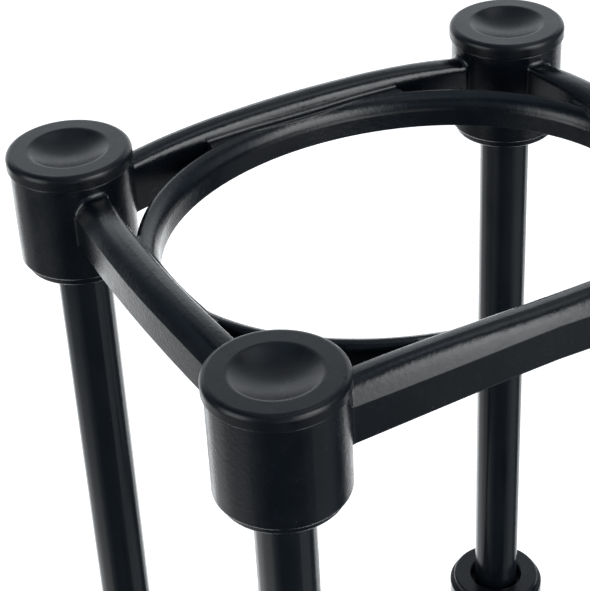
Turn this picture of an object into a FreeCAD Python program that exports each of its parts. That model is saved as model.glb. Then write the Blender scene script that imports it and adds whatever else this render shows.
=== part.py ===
import FreeCAD, Part
import math
import os

# Speaker isolation stand: two identical four-hub frames, one inverted under the
# other, joined by four tubular posts that end in rubber isolators.
# Millimetres, +Z up, origin at the centre of the footprint on the floor.
os.makedirs("parts", exist_ok=True)
V = FreeCAD.Vector

# ---------------------------------------------------------------- dimensions
HEIGHT = 215.0        # floor to top land
HUB_X = 50.8          # half spacing of the hub axes, short side
HUB_Y = 59.8          # half spacing of the hub axes, long side

# depths below are measured from the outer land of an isolator into the stand
CAP_R = 14.5
CAP_LAND_R = 13.15
CAP_SIDE_Z = 1.45
CAP_DEPTH = 3.5
CAP_LIP = 0.25
DISH_R = 9.25
DISH_DEPTH = 2.5
DISH_RIM = 0.35       # rounding of the dish's edge
PLUG_R = 12.35
PLUG_DEPTH = 9.0
NECK_R = 9.0
NECK_DEPTH = 26.0
SOCKET_R = 6.40

CORE_FLANGE_R = 7.6
CORE_FLANGE_TOP = 9.5
SEAT_DEPTH = 13.0     # end of the post
CORE_STUD_R = 3.2
CORE_STUD_TOP = 6.5
SPIGOT_R = 5.10
SPIGOT_DEPTH = 22.0
SPIGOT_CHAMFER = 0.6

CUP_R = 13.95
CUP_RIM_CHAMFER = 0.3
BORE_R = 12.40
CUP_DEPTH = 29.35
CUP_FLOOR = 27.0
CUP_SHOULDER = 26.75  # lower end of the straight side
CUP_STEP = 27.35      # the foot steps in here
CUP_STEP_R = 12.95
CUP_FOOT_R = 12.2
CUP_HOLE_R = 7.6
HOLE_CHAMFER = 0.4

POST_R = 6.35
POST_BORE_R = 5.15
POST_CHAMFER = 0.4

# the bars' section: an upright inner wall under a tight shoulder, a long arch
# falling outwards to a crease, and an upright outer flank
BAR_IN = 3.82         # centreline to inner wall
BAR_OUT = 4.1         # centreline to outer flank
BAR_TOP = 4.35
BAR_TOP_DROP = 5.6    # drop of the crest, extrapolated to the hub axis
BAR_TILT = 22.0       # degrees between the flank and the start of the arch
BOW_SHORT = 3.0       # outward bow of the short-side bars
BOW_LONG = 2.8
BOW_END = 0.86        # share of the half span where the bow is used up
ROOT_FILLET = 1.0     # bars to cups

RING_A = 49.5         # half axes of the oval's centreline
RING_B = 60.1
RING_IN = 2.6
RING_OUT = 2.6
RING_BOTTOM = 16.1

HUBS = [("front_left", -HUB_X, -HUB_Y), ("front_right", HUB_X, -HUB_Y),
        ("rear_left", -HUB_X, HUB_Y), ("rear_right", HUB_X, HUB_Y)]


# ------------------------------------------------------------------- helpers
def revolve(edges):
    face = Part.Face(Part.Wire(edges))
    return face.revolve(V(0, 0, 0), V(0, 0, 1), 360.0)


def polyline(points):
    return [Part.makeLine(V(points[i][0], 0, -points[i][1]),
                          V(points[i + 1][0], 0, -points[i + 1][1]))
            for i in range(len(points) - 1)]


def arc(a, b, c):
    return Part.Arc(V(a[0], 0, -a[1]), V(b[0], 0, -b[1]), V(c[0], 0, -c[1])).toShape()


def bezier(points):
    curve = Part.BezierCurve()
    curve.setPoles(points)
    return curve.toShape()


def bar_section(place, centre, top, inner, crease, bottom):
    """place(lateral, z) gives the point in space; lateral is positive outwards."""
    rise = crease - top
    lean = 0.45 * rise * math.tan(math.radians(BAR_TILT))
    wall, flank = centre - BAR_IN, centre + BAR_OUT
    return Part.Wire([
        Part.makeLine(place(wall, -bottom), place(wall, -inner)),
        bezier([place(wall, -inner), place(wall, 1.9 - inner),
                place(centre - 2.6, -top), place(centre, -top)]),
        bezier([place(centre, -top), place(centre + 0.58 * BAR_OUT, -top),
                place(flank - lean, 0.45 * rise - crease), place(flank, -crease)]),
        Part.makeLine(place(flank, -crease), place(flank, -bottom)),
        Part.makeLine(place(flank, -bottom), place(wall, -bottom))])


def half_bar(span, offset, bow, along_x, side, sign):
    """Half of a side bar, from its middle to the axis of a hub."""
    wires = []
    for s in (0.0, 0.14, 0.29, 0.44, 0.58, 0.72, 0.86, 1.0):
        u = sign * s * span
        if along_x:
            def place(lat, z, u=u):
                return V(u, side * (offset + lat), z)
            inner = 7.5 + 1.2 * s ** 6
            crease = 8.5 + 5.2 * s ** 3
            bottom = 16.05 + 3.2 * s ** 1.9
        else:
            def place(lat, z, u=u):
                return V(side * (offset + lat), u, z)
            inner = 7.5 + 2.2 * s ** 2 + 4.0 * s ** 8
            crease = 7.95 + 4.6 * s ** 1.4
            bottom = 16.0 + 6.0 * s ** 1.58
        centre = bow * max(0.0, 1.0 - (s / BOW_END) ** 2)
        wires.append(bar_section(place, centre, BAR_TOP + BAR_TOP_DROP * s ** 3,
                                 inner, crease, bottom))
    return Part.makeLoft(wires, True, False)


def as_solid(shape):
    shape = shape.removeSplitter()
    if shape.ShapeType == "Compound" and len(shape.Solids) == 1:
        shape = shape.Solids[0]
    if shape.Volume < 0:
        shape.reverse()
    return shape


def save(name, shape):
    if not shape.isValid():
        shape.fix(1e-4, 1e-4, 1e-3)
    print("%-32s %9.1f mm3  solids %d  valid %s" %
          (name, shape.Volume, len(shape.Solids), shape.isValid()))
    shape.exportStep("parts/%s.step" % name)


# --------------------------------------------------------------------- frame
def cup_blank():
    edges = polyline([(0, CAP_DEPTH), (CUP_R - CUP_RIM_CHAMFER, CAP_DEPTH),
                      (CUP_R, CAP_DEPTH + CUP_RIM_CHAMFER), (CUP_R, CUP_SHOULDER)])
    edges.append(arc((CUP_R, CUP_SHOULDER), (13.774, 27.174), (13.35, CUP_STEP)))
    edges += polyline([(13.35, CUP_STEP), (CUP_STEP_R, CUP_STEP), (12.75, 28.80)])
    edges.append(arc((12.75, 28.80), (12.589, 29.189), (CUP_FOOT_R, CUP_DEPTH)))
    edges += polyline([(CUP_FOOT_R, CUP_DEPTH), (0, CUP_DEPTH), (0, CAP_DEPTH)])
    return revolve(edges)


def cup_void():
    return revolve(polyline([(0, 0), (BORE_R, 0), (BORE_R, CUP_FLOOR),
                             (CUP_HOLE_R, CUP_FLOOR),
                             (CUP_HOLE_R, CUP_DEPTH - HOLE_CHAMFER),
                             (CUP_HOLE_R + 2 * HOLE_CHAMFER, CUP_DEPTH + HOLE_CHAMFER),
                             (0, CUP_DEPTH + HOLE_CHAMFER), (0, 0)]))


def oval():
    spine = Part.Wire([Part.Ellipse(V(0, RING_B, 0), V(RING_A, 0, 0), V(0, 0, 0)).toShape()])

    def at(lat, depth):
        return V(0, RING_B + lat, -depth)

    corners = [at(RING_OUT, 11.6), at(RING_OUT, RING_BOTTOM),
               at(-RING_IN, RING_BOTTOM), at(-RING_IN, 11.9)]
    profile = Part.Wire(
        [bezier([at(-RING_IN, 11.9), at(-RING_IN, 10.5), at(-1.4, 8.5), at(0.6, 8.05)]),
         bezier([at(0.6, 8.05), at(1.7, 7.95), at(RING_OUT, 9.3), at(RING_OUT, 11.6)])]
        + [Part.makeLine(corners[i], corners[i + 1]) for i in range(len(corners) - 1)])
    pipe = Part.BRepOffsetAPI.MakePipeShell(spine)
    pipe.setBiNormalMode(V(0, 0, 1))
    pipe.add(profile)
    pipe.build()
    pipe.makeSolid()
    ring = pipe.shape()
    if ring.Volume < 0:
        ring.reverse()
    return ring


def web(span, offset, bow, along_x, side):
    """Concave fillet from a bar's inner wall onto the oval, widening into a web
    where the two part company."""
    across, along = (RING_B, RING_A) if along_x else (RING_A, RING_B)
    reach = (19.5, 17.5, 15.5, 13.0, 9.0, 5.0) if along_x else (26.2, 24.0, 22.0, 19.0, 15.0, 8.0)
    wires = []
    for u in [-r for r in reach] + [0.0] + list(reversed(reach)):
        run = math.sqrt(1.0 - (u / along) ** 2)
        lean = math.hypot(1.0, across * u / (along ** 2 * run))
        wall = offset + bow * (1.0 - (u / span / BOW_END) ** 2) - BAR_IN
        width = max(1.5, wall - across * run - RING_OUT * lean + 1.3)
        if along_x:
            def at(inward, depth, u=u, wall=wall):
                return V(u, side * (wall - inward), -depth)
            floor = 8.15 + 0.6 * max(0.0, 1.0 - (u / 12.0) ** 2)
        else:
            def at(inward, depth, u=u, wall=wall):
                return V(side * (wall - inward), u, -depth)
            floor = 8.1 + 0.25 * max(0.0, 1.0 - (u / 15.0) ** 2)
        corners = [at(1.3, floor), at(width, floor), at(width, 15.9), at(-0.6, 15.9),
                   at(-0.6, floor - 1.3), at(0.0, floor - 1.3)]
        wires.append(Part.Wire(
            [bezier([at(0.0, floor - 1.3), at(0.0, floor - 0.1), at(0.1, floor),
                     at(1.3, floor)])]
            + [Part.makeLine(corners[i], corners[i + 1]) for i in range(len(corners) - 1)]))
    solid = Part.makeLoft(wires, True, False)
    if not along_x:
        # hollow round end between the two walls
        for end in (-1, 1):
            drill = Part.makeCylinder(0.9, 20.0, V(side * 48.2, end * 26.5, -22.0))
            solid = solid.cut(drill)
    return solid


def root_edges(body, x, y):
    """The arch edges where the two bars meet the cup. Each fillet runs on by itself
    along the tangent edges, so one edge a bar is enough."""
    found = {}
    for e in body.Edges:
        pts = e.discretize(5)
        if all(abs(math.hypot(p.x - x, p.y - y) - CUP_R) < 0.02 and -10.5 < p.z < -6.0
               for p in pts) and 4.0 < e.Length < 5.6:
            found[pts[2].y - y > 8.0] = e
    return list(found.values())


def flank_fillet(place, span, bow, top, bottom):
    """Concave upright fillet between a bar's outer flank and the cup."""
    r = ROOT_FILLET

    def lateral(a):
        s = (span - a) / span
        return BAR_OUT + bow * max(0.0, 1.0 - (s / BOW_END) ** 2)

    a0 = 13.0
    for _ in range(20):
        a0 = math.sqrt(CUP_R ** 2 - lateral(a0) ** 2)
    slope = (lateral(a0 + 1.0) - lateral(a0)) / 1.0
    n = math.hypot(1.0, slope)
    d, out = (1.0 / n, slope / n), (-slope / n, 1.0 / n)
    p0 = (a0, lateral(a0))
    lo, hi = 0.0, 4.0
    for _ in range(40):
        t = (lo + hi) / 2
        c = (p0[0] + t * d[0] + r * out[0], p0[1] + t * d[1] + r * out[1])
        if math.hypot(*c) < CUP_R + r:
            lo = t
        else:
            hi = t
    t1 = (c[0] - r * out[0], c[1] - r * out[1])
    t2 = (c[0] * CUP_R / (CUP_R + r), c[1] * CUP_R / (CUP_R + r))
    k = math.hypot(p0[0] - c[0], p0[1] - c[1])
    mid = (c[0] + r * (p0[0] - c[0]) / k, c[1] + r * (p0[1] - c[1]) / k)
    k1 = (t1[0] - 0.5 * out[0], t1[1] - 0.5 * out[1])
    k2 = (t2[0] * 0.96, t2[1] * 0.96)
    k0 = (p0[0] - 0.5, p0[1] - 0.6)

    def at(p):
        return place(p[0], p[1], -bottom)

    wire = Part.Wire([Part.Arc(at(t1), at(mid), at(t2)).toShape(),
                      Part.makeLine(at(t2), at(k2)), Part.makeLine(at(k2), at(k0)),
                      Part.makeLine(at(k0), at(k1)), Part.makeLine(at(k1), at(t1))])
    return Part.Face(wire).extrude(V(0, 0, bottom - top))


def quarter():
    """Front right hub with the near halves of its two bars."""
    cup = cup_blank()
    cup.translate(V(HUB_X, -HUB_Y, 0))
    body = cup.fuse([half_bar(HUB_X, HUB_Y, BOW_SHORT, True, -1, 1),
                     half_bar(HUB_Y, HUB_X, BOW_LONG, False, 1, -1)]).removeSplitter()
    edges = root_edges(body, HUB_X, -HUB_Y)
    body = body.makeFillet(ROOT_FILLET, edges)
    fillets = [flank_fillet(lambda a, lat, z: V(HUB_X - a, -HUB_Y - lat, z),
                            HUB_X, BOW_SHORT, 10.4, 17.8),
               flank_fillet(lambda a, lat, z: V(HUB_X + lat, a - HUB_Y, z),
                            HUB_Y, BOW_LONG, 10.95, 19.98)]
    body = body.fuse(fillets)
    print("root fillets", len(edges), body.isValid(), len(body.Solids))
    return body


def make_frame():
    q = quarter()
    half = [q, q.mirror(V(0, 0, 0), V(1, 0, 0))]
    webs = [web(HUB_X, HUB_Y, BOW_SHORT, True, side) for side in (-1, 1)]
    webs += [web(HUB_Y, HUB_X, BOW_LONG, False, side) for side in (-1, 1)]
    body = half[0].fuse([half[1]] + [h.mirror(V(0, 0, 0), V(0, 1, 0)) for h in half]
                        + [oval()] + webs)
    void = cup_void()
    voids = []
    for _, x, y in HUBS:
        v = void.copy()
        v.translate(V(x, y, 0))
        voids.append(v)
    body = body.cut(voids)
    return as_solid(body)


# ------------------------------------------------------------------ isolator
def make_isolator():
    ball = (DISH_R ** 2 + DISH_DEPTH ** 2) / (2.0 * DISH_DEPTH)

    def dish(r):
        return (r, math.sqrt(ball ** 2 - r ** 2) - ball + DISH_DEPTH)

    lip = DISH_R + DISH_RIM * 1.15
    edges = [arc(dish(0.0), dish(DISH_R * 0.52), dish(DISH_R - DISH_RIM)),
             arc(dish(DISH_R - DISH_RIM), (DISH_R + 0.01, 0.052), (lip, 0))]
    edges += polyline([(lip, 0), (CAP_LAND_R, 0)])
    mid = (CAP_LAND_R + (CAP_R - CAP_LAND_R) * math.sin(math.radians(45)),
           CAP_SIDE_Z * (1 - math.cos(math.radians(45))))
    edges.append(arc((CAP_LAND_R, 0), mid, (CAP_R, CAP_SIDE_Z)))
    edges += polyline([(CAP_R, CAP_SIDE_Z), (CAP_R, CAP_DEPTH - CAP_LIP),
                       (CAP_R - CAP_LIP, CAP_DEPTH), (PLUG_R, CAP_DEPTH),
                       (PLUG_R, PLUG_DEPTH - 0.5), (PLUG_R - 0.5, PLUG_DEPTH),
                       (NECK_R, PLUG_DEPTH), (NECK_R, NECK_DEPTH - 0.5),
                       (NECK_R - 0.5, NECK_DEPTH), (SOCKET_R, NECK_DEPTH),
                       (SOCKET_R, SEAT_DEPTH), (CORE_FLANGE_R, SEAT_DEPTH),
                       (CORE_FLANGE_R, CORE_FLANGE_TOP),
                       (CORE_STUD_R, CORE_FLANGE_TOP),
                       (CORE_STUD_R, CORE_STUD_TOP), (0, CORE_STUD_TOP),
                       (0, DISH_DEPTH)])
    return revolve(edges)


def make_core():
    return revolve(polyline([
        (0, CORE_STUD_TOP), (CORE_STUD_R, CORE_STUD_TOP),
        (CORE_STUD_R, CORE_FLANGE_TOP), (CORE_FLANGE_R, CORE_FLANGE_TOP),
        (CORE_FLANGE_R, SEAT_DEPTH), (SPIGOT_R, SEAT_DEPTH),
        (SPIGOT_R, SPIGOT_DEPTH - SPIGOT_CHAMFER),
        (SPIGOT_R - SPIGOT_CHAMFER, SPIGOT_DEPTH), (0, SPIGOT_DEPTH),
        (0, CORE_STUD_TOP)]))


def make_post():
    low, high = SEAT_DEPTH, HEIGHT - SEAT_DEPTH
    c = POST_CHAMFER
    return revolve(polyline([
        (POST_BORE_R + 0.25, -low), (POST_R - c, -low), (POST_R, -low - c),
        (POST_R, -high + c), (POST_R - c, -high), (POST_BORE_R + 0.25, -high),
        (POST_BORE_R, -high + 0.25), (POST_BORE_R, -low - 0.25),
        (POST_BORE_R + 0.25, -low)]))


def upright(shape, x, y):
    s = shape.copy()
    s.translate(V(x, y, HEIGHT))
    return s


def inverted(shape, x, y):
    s = shape.copy()
    s.rotate(V(0, 0, 0), V(1, 0, 0), 180)
    s.translate(V(x, y, 0))
    return s


frame = make_frame()
save("top_frame", upright(frame, 0, 0))
save("bottom_frame", inverted(frame, 0, 0))

isolator = make_isolator()
core = make_core()
post = make_post()
for where, x, y in HUBS:
    save("top_isolator_" + where, upright(isolator, x, y))
    save("bottom_isolator_" + where, inverted(isolator, x, y))
    save("top_core_" + where, upright(core, x, y))
    save("bottom_core_" + where, inverted(core, x, y))
    tube = post.copy()
    tube.translate(V(x, y, 0))
    save("post_" + where, tube)
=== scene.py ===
import bpy
import math
from mathutils import Matrix, Vector

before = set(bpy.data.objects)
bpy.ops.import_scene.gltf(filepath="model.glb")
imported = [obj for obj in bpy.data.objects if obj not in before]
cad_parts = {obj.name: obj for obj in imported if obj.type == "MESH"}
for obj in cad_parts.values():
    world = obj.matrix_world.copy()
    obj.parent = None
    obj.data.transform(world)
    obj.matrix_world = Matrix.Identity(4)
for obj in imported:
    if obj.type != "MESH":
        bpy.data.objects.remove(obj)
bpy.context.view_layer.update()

HUBS = ("front_left", "front_right", "rear_left", "rear_right")
HUB_X, HUB_Y = 0.0508, 0.0598
HEIGHT = 0.215


# ------------------------------------------------------------------ node helpers
class Tree:
    """Small helper for building a node tree without repeating link calls."""

    def __init__(self, tree):
        self.t = tree
        self.t.nodes.clear()

    def node(self, kind, **values):
        n = self.t.nodes.new(kind)
        for k, v in values.items():
            setattr(n, k, v)
        return n

    def put(self, socket, value):
        if hasattr(value, "is_output"):
            self.t.links.new(value, socket)
        elif value is not None:
            socket.default_value = value

    def math(self, op, a, b=None, c=None, clamp=False):
        n = self.node("ShaderNodeMath", operation=op, use_clamp=clamp)
        for s, v in zip(n.inputs, (a, b, c)):
            self.put(s, v)
        return n.outputs[0]

    def ramp(self, value, lo, hi, to_lo=0.0, to_hi=1.0, kind="SMOOTHSTEP"):
        n = self.node("ShaderNodeMapRange", interpolation_type=kind)
        for s, v in zip(n.inputs[:5], (value, lo, hi, to_lo, to_hi)):
            self.put(s, v)
        return n.outputs[0]

    def noise(self, vec, scale, detail=3.0, rough=0.55, distortion=0.0):
        n = self.node("ShaderNodeTexNoise")
        self.put(n.inputs["Vector"], vec)
        n.inputs["Scale"].default_value = scale
        n.inputs["Detail"].default_value = detail
        n.inputs["Roughness"].default_value = rough
        n.inputs["Distortion"].default_value = distortion
        return n.outputs["Fac"]

    def voronoi(self, vec, scale, feature="F1", out="Distance", smooth=0.0):
        n = self.node("ShaderNodeTexVoronoi", feature=feature)
        self.put(n.inputs["Vector"], vec)
        n.inputs["Scale"].default_value = scale
        if "Smoothness" in n.inputs:
            n.inputs["Smoothness"].default_value = smooth
        return n.outputs[out]

    def mix(self, fac, a, b):
        n = self.node("ShaderNodeMix", data_type="RGBA")
        self.put(n.inputs[0], fac)
        self.put(n.inputs[6], a)
        self.put(n.inputs[7], b)
        return n.outputs[2]

    def bump(self, height, distance, strength=1.0, normal=None):
        n = self.node("ShaderNodeBump")
        n.inputs["Strength"].default_value = strength
        n.inputs["Distance"].default_value = distance
        self.put(n.inputs["Height"], height)
        if normal is not None:
            self.put(n.inputs["Normal"], normal)
        return n.outputs[0]

    def scaled(self, vec, x, y, z):
        n = self.node("ShaderNodeVectorMath", operation="MULTIPLY")
        self.put(n.inputs[0], vec)
        n.inputs[1].default_value = (x, y, z)
        return n.outputs[0]


def material(name):
    m = bpy.data.materials.new(name)
    m.use_nodes = True
    return m, Tree(m.node_tree)


def shader(t, colour, rough, normal, level, **more):
    out = t.node("ShaderNodeOutputMaterial")
    p = t.node("ShaderNodeBsdfPrincipled")
    t.put(p.inputs["Base Color"], colour)
    t.put(p.inputs["Roughness"], rough)
    t.put(p.inputs["Normal"], normal)
    p.inputs["Specular IOR Level"].default_value = level
    for k, v in more.items():
        p.inputs[k].default_value = v
    t.t.links.new(p.outputs[0], out.inputs[0])
    return p


def place(t):
    """Position in the stand's own frame, which rides with the piece."""
    return t.node("ShaderNodeTexCoord").outputs["Object"]


def rounded(t, radius):
    n = t.node("ShaderNodeBevel", samples=6)
    n.inputs["Radius"].default_value = radius
    return n.outputs[0]


def rgb(r, g, b):
    return (r, g, b, 1.0)


# --------------------------------------------------------------------- materials
def moulded_plastic():
    """Satin black glass-filled moulding: fine spark-eroded grain over a slight
    orange peel, cloudy gloss from the flow of the melt, and a few light scuffs."""
    m, t = material("moulded_plastic")
    at = place(t)
    peel = t.noise(at, 1150.0, 2.0, 0.5)
    grain = t.noise(at, 5200.0, 2.0, 0.6)
    cloud = t.noise(at, 85.0, 4.0, 0.6, 0.4)
    fine = t.noise(at, 700.0, 3.0, 0.6)
    scuff = t.noise(t.scaled(at, 900.0, 900.0, 260.0), 1.0, 4.0, 0.7, 1.6)
    scuffs = t.math("MULTIPLY", t.ramp(scuff, 0.66, 0.74), t.ramp(cloud, 0.52, 0.62))
    speck = t.voronoi(at, 520.0)
    specks = t.math("MULTIPLY", t.ramp(speck, 0.085, 0.04),
                    t.ramp(t.noise(at, 160.0, 1.0), 0.56, 0.62))
    tone = t.mix(t.ramp(cloud, 0.35, 0.7), rgb(0.0022, 0.0036, 0.0058),
                 rgb(0.0034, 0.0050, 0.0074))
    tone = t.mix(t.math("MULTIPLY", scuffs, 0.5), tone, rgb(0.035, 0.036, 0.038))
    tone = t.mix(t.math("MULTIPLY", specks, 0.5), tone, rgb(0.10, 0.10, 0.10))
    rough = t.ramp(cloud, 0.3, 0.7, 0.20, 0.27)
    rough = t.math("ADD", rough, t.math("MULTIPLY", t.math("SUBTRACT", fine, 0.5), 0.16))
    rough = t.math("ADD", rough, t.math("MULTIPLY", scuffs, 0.12), clamp=True)
    n = rounded(t, 0.00035)
    n = t.bump(peel, 0.000045, 1.0, n)
    n = t.bump(grain, 0.000015, 1.0, n)
    shader(t, tone, rough, n, 0.5)
    return m


def moulded_rubber():
    """Matt black elastomer with a velvety fine grain, bloom and handling marks."""
    m, t = material("isolator_rubber")
    at = place(t)
    grain = t.noise(at, 3600.0, 3.0, 0.65)
    lump = t.noise(at, 620.0, 2.0, 0.5)
    cloud = t.noise(at, 120.0, 4.0, 0.6, 0.6)
    scratch = t.noise(t.scaled(at, 420.0, 1500.0, 420.0), 1.0, 3.0, 0.7, 2.2)
    marks = t.math("MULTIPLY", t.ramp(scratch, 0.68, 0.74), t.ramp(cloud, 0.50, 0.60))
    speck = t.voronoi(at, 640.0)
    specks = t.math("MULTIPLY", t.ramp(speck, 0.10, 0.05),
                    t.ramp(t.noise(at, 210.0, 1.0), 0.57, 0.63))
    tone = t.mix(t.ramp(cloud, 0.3, 0.72), rgb(0.0038, 0.0048, 0.0068),
                 rgb(0.0060, 0.0072, 0.0094))
    tone = t.mix(t.math("MULTIPLY", marks, 0.7), tone, rgb(0.055, 0.055, 0.056))
    tone = t.mix(t.math("MULTIPLY", specks, 0.7), tone, rgb(0.15, 0.15, 0.15))
    rough = t.ramp(cloud, 0.3, 0.7, 0.26, 0.33)
    rough = t.math("ADD", rough, t.math("MULTIPLY", marks, 0.10), clamp=True)
    n = rounded(t, 0.00022)
    n = t.bump(lump, 0.00002, 1.0, n)
    n = t.bump(grain, 0.000014, 1.0, n)
    shader(t, tone, rough, n, 0.38)
    return m


def core_plastic():
    """Hard moulded connector inside each isolator."""
    m, t = material("connector_core")
    at = place(t)
    cloud = t.noise(at, 200.0, 3.0)
    grain = t.noise(at, 4200.0, 2.0, 0.6)
    tone = t.mix(t.ramp(cloud, 0.3, 0.7), rgb(0.010, 0.010, 0.011),
                 rgb(0.016, 0.016, 0.017))
    rough = t.ramp(cloud, 0.3, 0.7, 0.36, 0.46)
    n = t.bump(grain, 0.00001, 1.0, rounded(t, 0.0002))
    shader(t, tone, rough, n, 0.45)
    return m


def coated_tube():
    """Steel tube under a smooth satin black coat with a faint peel, a trace of
    the drawing lines along its length and a few rubbed places."""
    m, t = material("post_coating")
    at = place(t)
    peel = t.noise(t.scaled(at, 1.0, 1.0, 0.55), 900.0, 2.0, 0.5)
    fine = t.noise(at, 4800.0, 2.0, 0.6)
    lines = t.noise(t.scaled(at, 2600.0, 2600.0, 38.0), 1.0, 3.0, 0.6)
    cloud = t.noise(t.scaled(at, 1.0, 1.0, 0.4), 110.0, 4.0, 0.6)
    speck = t.voronoi(at, 480.0)
    specks = t.math("MULTIPLY", t.ramp(speck, 0.08, 0.04),
                    t.ramp(t.noise(at, 150.0, 1.0), 0.57, 0.63))
    tone = t.mix(t.ramp(cloud, 0.3, 0.7), rgb(0.0036, 0.0054, 0.0076),
                 rgb(0.0052, 0.0072, 0.0096))
    tone = t.mix(t.math("MULTIPLY", specks, 0.45), tone, rgb(0.09, 0.09, 0.09))
    rough = t.ramp(cloud, 0.3, 0.7, 0.17, 0.24)
    rough = t.math("ADD", rough, t.math("MULTIPLY", t.math("SUBTRACT", lines, 0.5), 0.10),
                   clamp=True)
    n = t.bump(peel, 0.000022, 1.0, rounded(t, 0.0002))
    n = t.bump(lines, 0.0000015, 1.0, n)
    n = t.bump(fine, 0.000006, 1.0, n)
    shader(t, tone, rough, n, 0.70)
    return m


def finish_nodes():
    looks = {"frame": moulded_plastic(), "isolator": moulded_rubber(),
             "core": core_plastic(), "post": coated_tube()}
    for name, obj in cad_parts.items():
        kind = next(k for k in looks if k in name)
        if not obj.material_slots:
            obj.data.materials.append(looks[kind])
        for s in obj.material_slots:
            s.material = looks[kind]


# ------------------------------------------------------------------------- stage
def make_floor():
    mesh = bpy.data.meshes.new("floor")
    r = 6.0
    mesh.from_pydata([(-r, -r, 0), (r, -r, 0), (r, r, 0), (-r, r, 0)], [],
                     [(0, 1, 2, 3)])
    floor = bpy.data.objects.new("floor", mesh)
    bpy.context.scene.collection.objects.link(floor)
    m, t = material("pale_floor")
    out = t.node("ShaderNodeOutputMaterial")
    p = t.node("ShaderNodeBsdfPrincipled")
    p.inputs["Base Color"].default_value = rgb(0.88, 0.88, 0.88)
    p.inputs["Roughness"].default_value = 0.9
    p.inputs["Specular IOR Level"].default_value = 0.0
    p.inputs["Emission Color"].default_value = rgb(1, 1, 1)
    p.inputs["Emission Strength"].default_value = 0.70
    clear = t.node("ShaderNodeBsdfTransparent")
    side = t.node("ShaderNodeNewGeometry")
    mix = t.node("ShaderNodeMixShader")
    t.put(mix.inputs[0], side.outputs["Backfacing"])
    t.put(mix.inputs[1], p.outputs[0])
    t.put(mix.inputs[2], clear.outputs[0])
    t.t.links.new(mix.outputs[0], out.inputs[0])
    mesh.materials.append(m)
    floor.visible_glossy = False
    floor.visible_diffuse = False
    floor.visible_shadow = False
    return floor


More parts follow.
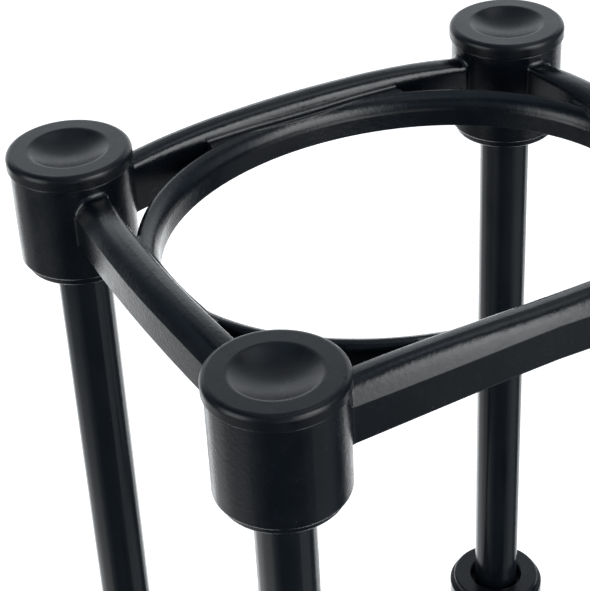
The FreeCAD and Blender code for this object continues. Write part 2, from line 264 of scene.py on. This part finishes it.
def make_world():
    """Soft studio light: two tall soft boxes either side, a pale sweep behind, a
    bright table to the left and a dark room in front."""
    w = bpy.data.worlds.new("studio")
    bpy.context.scene.world = w
    w.use_nodes = True
    t = Tree(w.node_tree)
    xyz = t.node("ShaderNodeSeparateXYZ")
    t.put(xyz.inputs[0], t.node("ShaderNodeTexCoord").outputs["Generated"])
    x, y, z = xyz.outputs
    az = t.math("MULTIPLY", t.math("ARCTAN2", x, t.math("MULTIPLY", y, -1.0)),
                180.0 / math.pi)
    el = t.math("MULTIPLY", t.math("ARCSINE", t.math("MAXIMUM", t.math("MINIMUM", z, 1.0), -1.0)),
                180.0 / math.pi)

    def lobe(az0, az_in, az_out, el0, el_in, el_out, amount):
        da = t.math("ABSOLUTE", t.math("WRAP", t.math("SUBTRACT", az, az0), 180.0, -180.0))
        de = t.math("ABSOLUTE", t.math("SUBTRACT", el, el0))
        a = t.ramp(da, az_out, az_in)
        e = t.ramp(de, el_out, el_in)
        return t.math("MULTIPLY", t.math("MULTIPLY", a, e), amount)

    fill = t.ramp(el, -12.0, 32.0, 0.08, 0.28)
    fill = t.math("ADD", fill, t.ramp(el, 56.0, 74.0, 0.0, 0.12))
    dip = t.math("ABSOLUTE", t.math("SUBTRACT", el, 53.0))
    fill = t.math("SUBTRACT", fill, t.ramp(dip, 17.0, 7.0, 0.0, 0.18))
    total = None
    for spec in (
            (111.0, 16.0, 27.0, 10.0, 20.0, 37.0, 2.0),     # right soft box
            (116.0, 10.0, 21.0, 34.0, 7.0, 15.0, 3.2),      # its brighter upper part
            (117.0, 10.0, 18.0, 14.0, 5.0, 13.0, 1.6),      # and its middle
            (138.0, 14.0, 30.0, 22.0, 12.0, 28.0, 0.30),
            (2.0, 10.0, 25.0, 6.0, 15.0, 31.0, 2.7),        # left soft box
            (-118.0, 32.0, 60.0, 17.0, 9.0, 22.0, 1.07),    # sweep behind
            (-116.0, 28.0, 58.0, 49.0, 8.0, 18.0, 0.32),
            (-112.0, 30.0, 50.0, -30.0, 22.0, 40.0, 1.9),   # table behind
            (-117.0, 60.0, 90.0, -90.0, 24.0, 42.0, 1.8),   # table underneath
            (-55.0, 12.0, 30.0, -36.0, 12.0, 28.0, 0.33),   # table on the left
            (-28.0, 30.0, 50.0, -62.0, 18.0, 30.0, 0.48),
            (-15.0, 40.0, 55.0, -30.0, 14.0, 30.0, 0.09),
            (133.0, 16.0, 32.0, -34.0, 12.0, 26.0, 0.22),   # table on the right
            (-168.0, 5.0, 12.0, -28.0, 10.0, 24.0, 1.4),
            (88.0, 14.0, 34.0, -9.0, 6.0, 17.0, 0.60),
            (82.0, 16.0, 30.0, 66.0, 7.0, 15.0, 0.34),
            (174.0, 18.0, 42.0, 66.0, 7.0, 17.0, 0.85),     # top light
    ):
        one = lobe(*spec)
        total = one if total is None else t.math("ADD", total, one)
    out = t.node("ShaderNodeOutputWorld")
    light = t.node("ShaderNodeAddShader")
    dim = t.node("ShaderNodeBackground")
    dim.inputs[0].default_value = rgb(0.62, 0.80, 1.0)
    t.put(dim.inputs[1], fill)
    soft = t.node("ShaderNodeBackground")
    soft.inputs[0].default_value = rgb(0.975, 0.99, 1.0)
    t.put(soft.inputs[1], total)
    t.put(light.inputs[0], dim.outputs[0])
    t.put(light.inputs[1], soft.outputs[0])
    seen = t.node("ShaderNodeBackground")
    seen.inputs[0].default_value = rgb(1, 1, 1)
    seen.inputs[1].default_value = 1.0
    ray = t.node("ShaderNodeLightPath")
    mix = t.node("ShaderNodeMixShader")
    t.put(mix.inputs[0], ray.outputs["Is Camera Ray"])
    t.put(mix.inputs[1], light.outputs[0])
    t.put(mix.inputs[2], seen.outputs[0])
    t.t.links.new(mix.outputs[0], out.inputs[0])


def make_camera():
    az, el, roll = (math.radians(v) for v in (63.4538, 33.6143, -3.1468))
    away = Vector((math.sin(az) * math.cos(el), -math.cos(az) * math.cos(el),
                   math.sin(el)))
    spot = Vector((0.030462, -0.044717, HEIGHT))
    right = (-away).cross(Vector((0, 0, 1))).normalized()
    up = right.cross(-away)
    cx = right * math.cos(roll) + up * math.sin(roll)
    cy = -right * math.sin(roll) + up * math.cos(roll)
    data = bpy.data.cameras.new("camera")
    data.sensor_width = 36.0
    data.lens = 1825.998 * 36.0 / 591.0
    data.clip_start, data.clip_end = 0.01, 50.0
    cam = bpy.data.objects.new("camera", data)
    bpy.context.scene.collection.objects.link(cam)
    m = Matrix((cx, cy, away)).transposed().to_4x4()
    m.translation = spot + away * 0.361443
    cam.matrix_world = m
    bpy.context.scene.camera = cam


finish_nodes()
make_floor()
make_world()
make_camera()
bpy.context.scene.view_settings.view_transform = "Standard"
bpy.context.scene.view_settings.look = "None"
